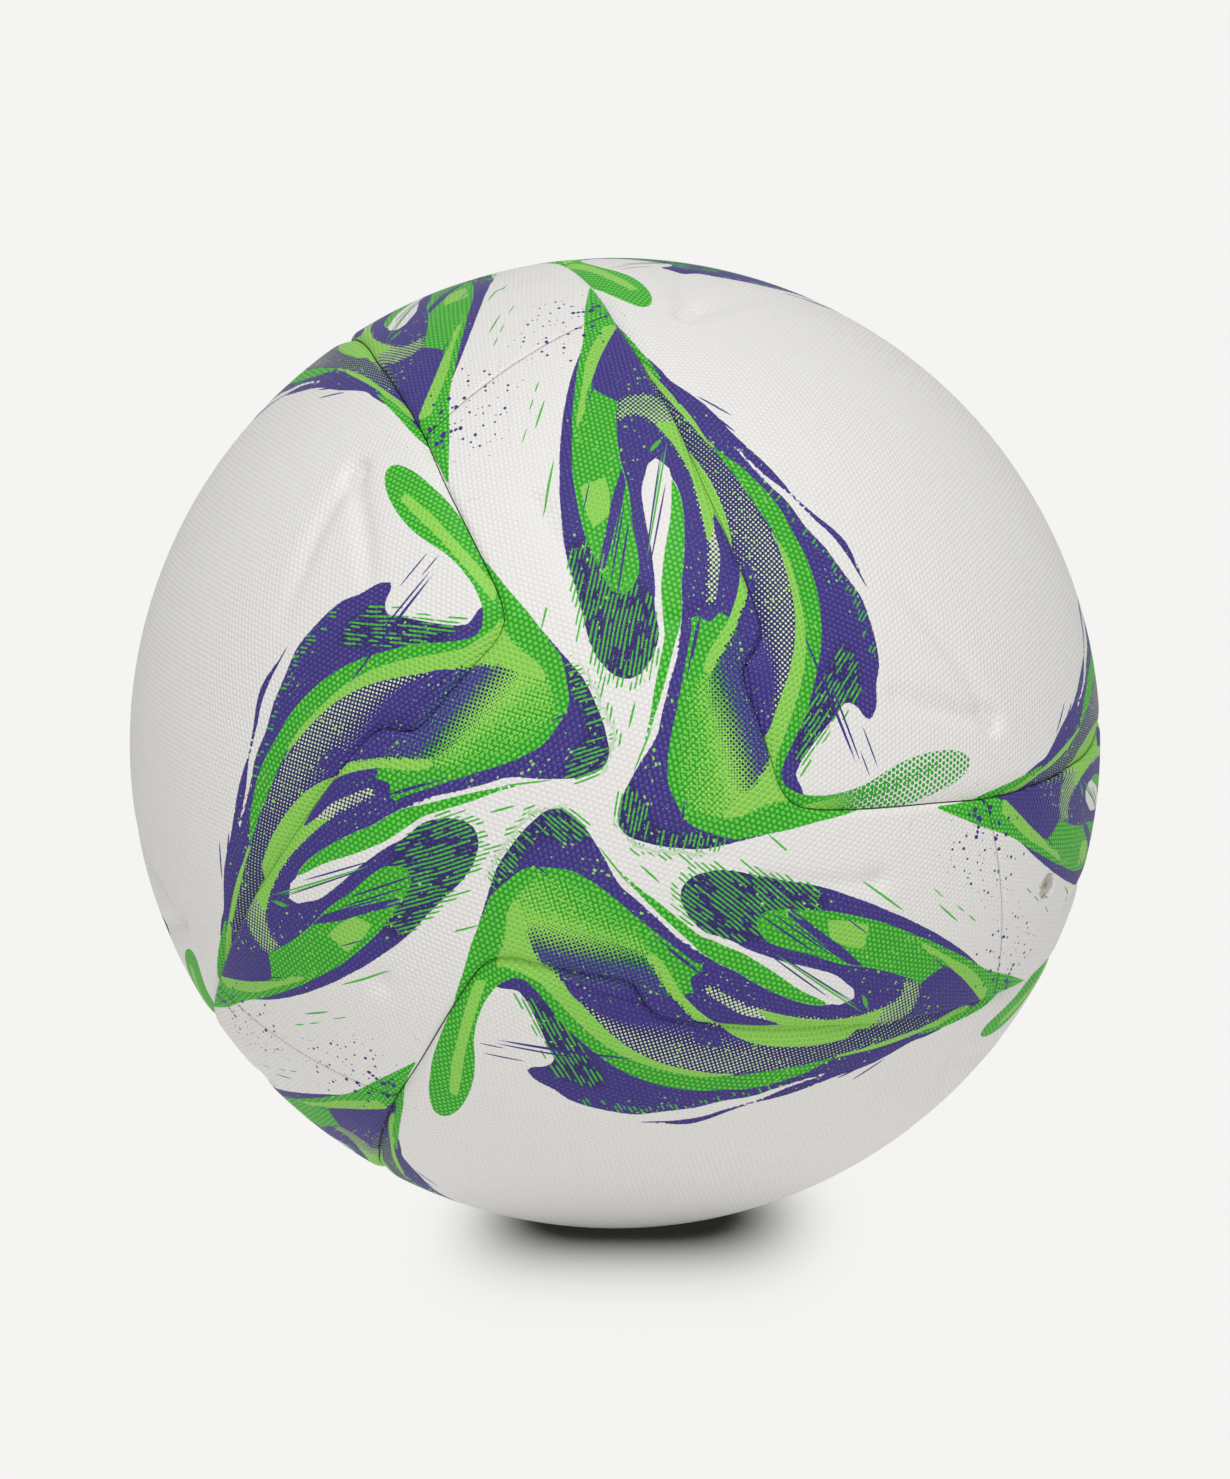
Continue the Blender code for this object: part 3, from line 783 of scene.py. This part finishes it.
class Painter:
    """Builds one material's pattern: attributes, noises, lattices and layers of ink."""

    def __init__(self, name):
        self.material = bpy.data.materials.new(name)
        self.material.use_nodes = True
        self.tree = self.material.node_tree
        self.shader = self.tree.nodes["Principled BSDF"]
        self.colour = None

    def node(self, kind):
        """A new shader node of a kind."""
        return self.tree.nodes.new("ShaderNode" + kind)

    def field(self, name):
        """A number stored on the mesh."""
        node = self.node("Attribute")
        node.attribute_name = name
        return Number(self.tree, node.outputs["Fac"])

    def parts(self, socket):
        """The first two numbers of a vector or a colour."""
        node = self.node("SeparateXYZ")
        self.tree.links.new(socket, node.inputs[0])
        return Number(self.tree, node.outputs[0]), Number(self.tree, node.outputs[1])

    def pair(self, name):
        """The two coordinates of a place stored on the mesh."""
        node = self.node("Attribute")
        node.attribute_name = name
        return self.parts(node.outputs["Vector"])

    def vector(self, x, y, z=0.0):
        """A vector socket from three numbers."""
        node = self.node("CombineXYZ")
        plug(self.tree, node.inputs, (x, y, z))
        return node.outputs[0]

    def noise(self, x, y, detail=2.0, seed=0.0):
        """Noise between about 0.25 and 0.75, with features one unit wide."""
        node = self.node("TexNoise")
        node.inputs["Scale"].default_value = 1.0
        node.inputs["Detail"].default_value = detail
        self.tree.links.new(self.vector(x, y, seed), node.inputs["Vector"])
        return Number(self.tree, node.outputs[0])

    def cells(self, x, y):
        """Distance to the nearest of scattered points one unit apart, and a random number."""
        node = self.node("TexVoronoi")
        node.voronoi_dimensions = "2D"
        node.inputs["Scale"].default_value = 1.0
        self.tree.links.new(self.vector(x, y), node.inputs["Vector"])
        return Number(self.tree, node.outputs["Distance"]), self.parts(node.outputs["Color"])[0]

    def lattice(self, x, y, pitch):
        """Distance to the nearest place of a triangular lattice, in pitches."""
        distances = []
        for shift in (0.0, 0.5):
            tall = pitch * math.sqrt(3.0)
            across = (x / pitch + shift).wrap()
            up = (y / tall + shift).wrap() * math.sqrt(3.0)
            distances.append((across * across + up * up).math("SQRT"))
        return distances[0].math("MINIMUM", distances[1])

    def square_lattice(self, x, y, pitch):
        """Distance to the nearest place of a square lattice, in pitches."""
        across = (x / pitch).wrap()
        up = (y / pitch).wrap()
        return (across * across + up * up).math("SQRT")

    def dots(self, lattice, name):
        """Where the dots of a printed tone are, larger where the tone is higher."""
        tone = self.field(name)
        return (tone.math("SQRT") * 0.564 - lattice).ramp(-0.04, 0.04) * tone.ramp(0.0, 0.03)

    def strokes(self, along, across, weight, pitch, length, seed):
        """Where fine parallel brush strokes are, more of them where the weight is higher."""
        wander = self.noise(along / 14.0, across / 6.0, 0.0, seed) * 1.2
        lane = across / pitch + wander
        side = (lane.math("FRACT") - 0.5).math("ABSOLUTE")
        broken = self.noise(along / length, lane.math("FLOOR") * 3.7, 2.0, seed + 1.0)
        present = (broken - 0.74 + weight * 0.285).ramp(-0.03, 0.05) * weight.ramp(0.0, 0.05)
        return (present * 0.25 - side).ramp(0.0, 0.05)

    def dashes(self, coordinates, strokes):
        """Where long thin lenses are, each from one place to another with a width."""
        cover = None
        for x0, y0, x1, y1, width in strokes:
            node = self.node("Mapping")
            node.vector_type = "TEXTURE"
            node.inputs["Location"].default_value = (0.5 * (x0 + x1), 0.5 * (y0 + y1), 0.0)
            node.inputs["Rotation"].default_value = (0.0, 0.0, math.atan2(y1 - y0, x1 - x0))
            half = 0.5 * math.hypot(x1 - x0, y1 - y0)
            node.inputs["Scale"].default_value = (half, 0.5 * width, 1.0)
            self.tree.links.new(coordinates, node.inputs["Vector"])
            length = self.node("VectorMath")
            length.operation = "LENGTH"
            self.tree.links.new(node.outputs[0], length.inputs[0])
            stroke = Number(self.tree, length.outputs["Value"]).ramp(1.15, 0.85)
            cover = stroke if cover is None else cover.math("MAXIMUM", stroke)
        return cover

    def blend(self, below, above, cover):
        """One colour over another where cover is 1; colours are sockets or fixed."""
        node = self.node("Mix")
        node.data_type = "RGBA"
        self.tree.links.new(cover.socket, node.inputs[0])
        for socket, value in ((node.inputs[6], below), (node.inputs[7], above)):
            if isinstance(value, tuple):
                socket.default_value = (*value, 1.0)
            else:
                self.tree.links.new(value, socket)
        return node.outputs[2]

    def lay(self, ink, cover):
        """An ink over the colour so far, where cover is 1."""
        self.colour = self.blend(self.colour, ink, cover)

    def bump(self, height, distance):
        """Small relief from a height, on the shader's normal."""
        node = self.node("Bump")
        node.inputs["Strength"].default_value = 1.0
        node.inputs["Distance"].default_value = distance
        self.tree.links.new(height.socket, node.inputs["Height"])
        self.tree.links.new(node.outputs[0], self.shader.inputs["Normal"])

    def finish(self, roughness):
        """Joins the colour and the roughness, varying or fixed, to the shader."""
        self.tree.links.new(self.colour, self.shader.inputs["Base Color"])
        plug(self.tree, [self.shader.inputs["Roughness"]], [roughness])
        return self.material


def linear(red, green, blue):
    """A colour's linear values from its display values out of 255."""
    values = []
    for value in (red, green, blue):
        part = value / 255.0
        values.append(part / 12.92 if part <= 0.04045 else ((part + 0.055) / 1.055) ** 2.4)
    return tuple(values)


# ---- materials

WHITE = linear(240, 238, 235)
# Painted shade: the white's colour in the valleys between the pimples, darker than on their tops
WHITE_VALLEY_SHADE = linear(231, 229, 226)
PURPLE = linear(56, 43, 130)
# Painted highlight: the lighter purple laid on the tops of the purple pimples
PURPLE_LIT = linear(86, 74, 160)
PURPLE_DEEP = linear(38, 27, 98)
GREEN = linear(26, 164, 18)
GREEN_DOT = linear(104, 212, 68)
LIGHT = linear(153, 220, 90)
LIGHT_DOT = linear(116, 200, 72)
PALE_DOT = linear(222, 240, 200)
STROKE = linear(74, 188, 54)
GREEN_DASHES = [
    (61.5, -0.8, 74, -5.3, 0.55), (83.5, -2.4, 91, -5.6, 0.5), (89, -1.8, 92, -3, 0.35),
    (94, -3.7, 97, -4.9, 0.4), (119, -0.5, 121, -1.7, 0.4), (13, -9.9, 18, -12.3, 0.5),
    (-20.8, -37.8, -15, -33.6, 0.45), (48, -21.3, 73, -31, 0.45), (52, -22.4, 71, -29.6, 0.3),
    (72, -27, 74.5, -30, 1.0), (4, -9, 12, -14.5, 0.4), (80.2, 1.2, 84, -0.5, 0.3),
]
PURPLE_DASHES = [
    (-3, -58.8, 25, -53.8, 0.7), (-3.5, -59.9, 14, -57.2, 0.45), (-6, -63.8, 3.2, -62.3, 0.35),
    (-7.5, -61.5, -2, -60.6, 0.3), (80.2, -50.9, 86.7, -44.2, 0.5), (75.5, -50.5, 80, -47.3, 0.5),
    (40, -13, 56, -18.8, 0.5), (43, -12.2, 60, -18.6, 0.4), (46, -21.5, 63, -28.5, 0.4),
    (-11, -15.7, -4, -18, 0.4), (24, -25.5, 33, -29.5, 0.6), (20, -23.5, 32, -28.6, 0.3),
    (33, -71.5, 44, -68.3, 0.5), (45, -20, 70, -28.8, 0.35), (60, -9.5, 67, -12.2, 0.3),
    (48, -13.2, 63, -19.2, 0.35), (88, -15.5, 103, -22.5, 0.4),
]
SOFT_EDGE = 0.07
HATCH_TURN = (0.922, -0.387)
COMB_TURN = (0.682, -0.731)
HALFTONE_TURN = (0.829, 0.559)
PIMPLE_PITCH = 1.28
PIMPLE_HEIGHT = 0.00024
HALFTONE_PITCH = 0.85


def turned_axes(x, y, cosine, sine):
    """Coordinates along and across a turned direction."""
    return x * cosine + y * sine, y * cosine - x * sine


def printed_skin():
    """The cover's polyurethane: white, the print's inks, pimples with painted shade and highlights, and
    a satin finish.
    """
    paint = Painter("printed_skin")
    x, y = paint.pair("motif")
    u, v = paint.pair("panel")
    pimple = paint.lattice(u, v, PIMPLE_PITCH)
    halftone = paint.square_lattice(*turned_axes(x, y, *HALFTONE_TURN), HALFTONE_PITCH)

    fine_edge = (paint.noise(x / 0.8, y / 0.8, 1.0, 5.0) - 0.5) * 0.35
    purple = paint.field("purple") + fine_edge
    purple_cover = purple.ramp(-SOFT_EDGE, SOFT_EDGE)

    # Painted shade: the white is laid darker in the valleys between the pimples
    paint.colour = paint.blend(WHITE, WHITE_VALLEY_SHADE, pimple.ramp(0.40, 0.50))
    paint.lay(PURPLE, purple_cover)
    # Painted highlight on the tops of the purple pimples
    paint.lay(PURPLE_LIT, pimple.ramp(0.42, 0.22) * 0.6 * purple_cover)
    worked = paint.field("comb").math("MAXIMUM", paint.field("hatch")) * 0.8
    deep = paint.field("dots").ramp(0.0, 0.2).math("MAXIMUM", worked)
    paint.lay(PURPLE_DEEP, deep * purple_cover * 0.9)
    dot = paint.blend(PALE_DOT, LIGHT, x.ramp(55.0, 75.0) * 0.6)
    paint.lay(dot, paint.dots(halftone, "dots") * purple.ramp(0.0, 0.3))

    dotted = paint.field("dotted") * y.ramp(-46.0, -60.0) * x.ramp(-3.0, -5.0)
    plain = dotted.rest()
    big_dot = (y.ramp(-46.0, -75.0) * -0.14 + 0.50 - pimple).ramp(-0.04, 0.04)
    green_cover = (paint.field("green") + fine_edge).ramp(-SOFT_EDGE, SOFT_EDGE)
    ink_cover = green_cover * (dotted * big_dot.rest()).rest()
    paint.lay(GREEN, ink_cover)
    paint.lay(GREEN_DOT, pimple.ramp(0.38, 0.28) * green_cover * plain)
    paint.lay(LIGHT, paint.dots(halftone, "fade") * green_cover)

    light_cover = (paint.field("light") + fine_edge * 0.6).ramp(-SOFT_EDGE, SOFT_EDGE)
    fine_dot = halftone.ramp(0.36, 0.28) * dotted
    paint.lay(LIGHT, light_cover * plain)
    paint.lay(GREEN, light_cover * fine_dot)
    paint.lay(LIGHT_DOT, light_cover * pimple.ramp(0.42, 0.3) * 0.5 * plain)

    over_cover = (paint.field("over") + fine_edge).ramp(-SOFT_EDGE, SOFT_EDGE)
    solid = paint.field("shade").ramp(0.5, 0.95)
    ink = paint.blend(PURPLE_DEEP, PURPLE, solid)
    paint.lay(ink, paint.dots(halftone, "shade"))
    paint.lay(PURPLE, over_cover)
    # Painted highlight on the pimples' tops where purple lies over other inks or the shade dots are
    # solid
    lit = over_cover.math("MAXIMUM", solid) * pimple.ramp(0.42, 0.22) * 0.6
    paint.lay(PURPLE_LIT, lit)

    along, across = turned_axes(x, y, *HATCH_TURN)
    paint.lay(STROKE, paint.strokes(along, across, paint.field("hatch"), 0.9, 5.0, 2.0))
    along, across = turned_axes(x, y, *COMB_TURN)
    paint.lay(STROKE, paint.strokes(along, across, paint.field("comb"), 0.95, 4.6, 4.0))
    strokes = paint.strokes(along, across, paint.field("edge") * 0.72, 0.95, 2.2, 12.0)
    paint.lay(STROKE, strokes * purple_cover)
    places = paint.vector(x, y)
    paint.lay(STROKE, paint.dashes(places, GREEN_DASHES))
    paint.lay(PURPLE, paint.dashes(places, PURPLE_DASHES))

    spot, chance = paint.cells(x / 1.7, y / 1.7)
    splatter = (chance.math("POWER", 4.0) * 0.40 * paint.field("splatter") - spot).ramp(-0.02, 0.02)
    paint.lay(PURPLE, splatter)
    speck, luck = paint.cells(x / 1.5 + 40.0, y / 1.1)
    patches = paint.noise(x / 14.0, y / 14.0, 1.0, 7.0).ramp(0.40, 0.60)
    uneven = speck + (paint.noise(x / 0.35, y / 0.35, 0.0, 3.0) - 0.5) * 0.3
    specks = (luck.math("POWER", 5.0) * 0.30 * patches - uneven).ramp(-0.02, 0.02) * purple_cover
    paint.lay(LIGHT, specks)

    dome = pimple.ramp(0.52, 0.12)
    paint.bump(dome * (purple_cover * 0.4 + 0.6), PIMPLE_HEIGHT)
    paint.shader.inputs["Specular IOR Level"].default_value = 0.42
    roughness = paint.noise(u / 9.0, v / 9.0, 3.0, 9.0) * 0.12 + 0.36
    return paint.finish(roughness)


def inner_material(name, light, dark, roughness, grain, depth):
    """A foam, fabric or rubber surface: two shades in fine grain, with its relief."""
    paint = Painter(name)
    place = paint.node("TexCoord")
    noise = paint.node("TexNoise")
    noise.inputs["Scale"].default_value = 1.0 / grain
    noise.inputs["Detail"].default_value = 4.0
    paint.tree.links.new(place.outputs["Object"], noise.inputs["Vector"])
    value = Number(paint.tree, noise.outputs[0])
    paint.bump(value, depth)
    paint.colour = paint.blend(linear(*dark), linear(*light), value.ramp(0.35, 0.65))
    return paint.finish(roughness)


# ---- pieces

SHARP_ANGLE = math.radians(40.0)
DOTTED_BELOW = 0.04


def add_object(name, data):
    """A new object of some data, in the scene."""
    thing = bpy.data.objects.new(name, data)
    bpy.context.scene.collection.objects.link(thing)
    return thing


def add_skin(family, place, turn, shape, fields, dotted, material):
    """One cover skin, in its place, with the print's fields on its mesh.

    Where dotted is true, the drop on the skin's lower part is printed as dots.
    """
    flat, directions, radii, faces = shape
    name = f"{family}_cover_{place}"
    places = (directions * radii[:, None]) @ turn.T * MM
    mesh = bpy.data.meshes.new(name)
    mesh.from_pydata(places.tolist(), [], faces)
    mesh.shade_smooth()
    mesh.set_sharp_from_angle(angle=SHARP_ANGLE)
    numbers = {**fields, "dotted": (places[:, 2] < DOTTED_BELOW) * float(dotted)}
    vectors = {"motif": numbers.pop("motif"), "panel": flat}
    for key, values in numbers.items():
        layer = mesh.attributes.new(key, "FLOAT", "POINT")
        layer.data.foreach_set("value", values.astype(np.float32))
    for key, values in vectors.items():
        layer = mesh.attributes.new(key, "FLOAT_VECTOR", "POINT")
        padded = np.concatenate([values, np.zeros((len(values), 1))], axis=1)
        layer.data.foreach_set("vector", padded.astype(np.float32).ravel())
    mesh.materials.append(material)
    skin = add_object(name, mesh)
    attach(skin, "root")
    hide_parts(f"{family}_skin_{place}")


def slipped(directions, turn, slip):
    """Where a panel's directions fall on the true print, when its own lies a little off."""
    size = np.linalg.norm(slip)
    movement = turn_about(np.array(slip) / size, math.radians(size))
    return directions @ turn.T @ movement @ turn


def with_less_dent(shape, relief, share):
    """A panel's shape with only a share of its dents."""
    flat, directions, radii, faces = shape
    return flat, directions, radii + (1.0 - share) * relief(flat), faces


def build_cover():
    """The eight printed skins."""
    material = printed_skin()
    armed, armed_seam = armed_outline()
    triangle, triangle_seam = triangle_outline()
    triangle_map = SurfaceMap(triangle.sum(axis=0), FRONT)
    shapes = {}
    for kind, surface_map, line, on_seam, with_hole in (
        ("armed", ARM_MAP, armed, armed_seam, False),
        ("armed_with_valve", ARM_MAP, armed, armed_seam, True),
        ("triangle", triangle_map, triangle, triangle_seam, False),
    ):
        family = kind.split("_")[0]
        shape = panel_shape(surface_map, line, on_seam, family, with_hole)
        shapes[kind] = (shape, print_fields(shape[1]))
    for place, turn in ARMED_PLACES.items():
        kind = "armed_with_valve" if place == "right" else "armed"
        add_skin("armed", place, turn, *shapes[kind], False, material)
    for place, turn in TRIANGLE_PLACES.items():
        shape, fields = shapes["triangle"]
        if place in PRINT_SLIPS:
            fields = print_fields(slipped(shape[1], turn, PRINT_SLIPS[place]))
        if place == "lower":
            shape = with_less_dent(shape, relief_triangle, LOWER_DENT_SHARE)
        add_skin("triangle", place, turn, shape, fields, place == "upper", material)


def dress_inner_pieces():
    """Materials of the frame's own pieces: foam, carcass, bladder and valve."""
    foam = inner_material("foam", (222, 219, 208), (200, 196, 184), 0.9, 0.0012, 0.0001)
    fabric = inner_material("fabric", (212, 206, 188), (176, 170, 150), 0.85, 0.0008, 0.0002)
    bladder = inner_material("bladder_rubber", (48, 48, 50), (36, 36, 38), 0.5, 0.003, 0.00005)
    valve = inner_material("valve_rubber", (206, 198, 186), (176, 166, 152), 0.55, 0.0008, 0.00004)
    looks = {"armed": foam, "triangle": foam, "carcass": fabric, "bladder": bladder, "valve": valve}
    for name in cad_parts:
        obj = bpy.data.objects.get(name)
        if obj is None or "skin" in name:
            continue
        material = looks[name.split("_")[0]]
        for place in obj.material_slots:
            place.material = material
        if not obj.material_slots:
            obj.data.materials.append(material)


# ---- the studio


def build_camera():
    """The camera: nearly level, straight at the front panel."""
    data = bpy.data.cameras.new("camera")
    data.sensor_width = 36.0
    data.lens = 109.2
    camera = add_object("camera", data)
    towards = Vector((0.0379, -0.9938, 0.1060)).normalized()
    distance = 1.023
    camera.location = towards * distance
    camera.rotation_mode = "QUATERNION"
    camera.rotation_quaternion = (-towards).to_track_quat("-Z", "Y")
    data.shift_y = 0.0023665
    bpy.context.scene.camera = camera


def build_lamp():
    """One wide soft lamp in front of the ball and above it, aimed at its centre."""
    data = bpy.data.lights.new("key", "AREA")
    data.shape = "RECTANGLE"
    data.size = 0.9
    data.size_y = 0.7
    data.energy = 18.6
    lamp = add_object("key", data)
    lamp.location = (0.1, -1.25, 1.5)
    lamp.rotation_mode = "QUATERNION"
    lamp.rotation_quaternion = (-lamp.location).to_track_quat("-Z", "Y")


# The contact shadow's place and reach on the floor, its depth and its colour
SHADOW_SHIFT = 0.005
SHADOW_WIDTH = 0.035
SHADOW_LENGTH = 0.055
SHADOW_DEPTH = 1.28
SHADOW = (0.02, 0.02, 0.018)
PAPER = linear(245, 244, 242)


def backdrop_material():
    """Evenly lit paper, darker where the ball stands close over it."""
    paint = Painter("paper")
    tree = paint.tree
    shade = paint.node("AmbientOcclusion")
    shade.samples = 16
    shade.inputs["Distance"].default_value = 1.0
    sideways, forwards = paint.parts(paint.node("TexCoord").outputs["Object"])
    across = ((sideways - SHADOW_SHIFT) / SHADOW_WIDTH).math("POWER", 4.0)
    falloff = (across + (forwards / SHADOW_LENGTH).math("POWER", 2.0)) * -1.0
    light = Number(tree, shade.outputs["AO"])
    kept = light.rest() * falloff.math("EXPONENT") * -SHADOW_DEPTH + 1.0
    glow = paint.node("Emission")
    colour = paint.blend(SHADOW, PAPER, kept)
    tree.links.new(colour, glow.inputs["Color"])
    output = next(node for node in tree.nodes if node.type == "OUTPUT_MATERIAL")
    tree.links.new(glow.outputs[0], output.inputs["Surface"])
    tree.nodes.remove(paint.shader)
    return paint.material


def add_stage(name, profile, material):
    """A surface turned about the vertical through the ball, from (radius, height) points."""
    steps = 64
    shape = bmesh.new()
    rings = []
    for radius, height in profile:
        ring = []
        for step in range(steps):
            angle = 2.0 * math.pi * step / steps
            place = (radius * math.cos(angle), radius * math.sin(angle), cad_box[0][2] + height)
            ring.append(shape.verts.new(place))
        rings.append(ring)
    for below, above in zip(rings, rings[1:]):
        for step in range(steps):
            after = (step + 1) % steps
            shape.faces.new([below[step], below[after], above[after], above[step]])
    mesh = bpy.data.meshes.new(name)
    shape.to_mesh(mesh)
    shape.free()
    mesh.shade_smooth()
    stage = add_object(name, mesh)
    mesh.materials.append(material)
    stage.visible_shadow = False
    stage.visible_glossy = False
    return stage


def build_studio():
    """A pale floor under the ball, a dome of the same paper round it, a lamp and a white world."""
    floor_reach = 0.7
    dome_reach = 4.0
    bend = 1.0
    material = backdrop_material()
    add_stage("floor", [(0.0002, 0.0), (0.1, 0.0), (floor_reach, 0.0)], material)
    profile = [(floor_reach, 0.0), (dome_reach - bend, 0.0)]
    for step in range(1, 13):
        angle = 0.5 * math.pi * step / 12
        profile.append((dome_reach - bend + bend * math.sin(angle), bend - bend * math.cos(angle)))
    for step in range(1, 17):
        angle = 0.499 * math.pi * step / 16
        profile.append((dome_reach * math.cos(angle), bend + dome_reach * math.sin(angle)))
    dome = add_stage("backdrop", profile, material)
    dome.visible_diffuse = False

    world = bpy.data.worlds.new("studio")
    world.use_nodes = True
    background = world.node_tree.nodes["Background"]
    background.inputs["Color"].default_value = (1.0, 0.995, 0.985, 1.0)
    background.inputs["Strength"].default_value = 0.495
    bpy.context.scene.world = world
    build_lamp()
    bpy.context.scene.view_settings.view_transform = "Standard"


build_camera()
build_studio()
build_cover()
dress_inner_pieces()
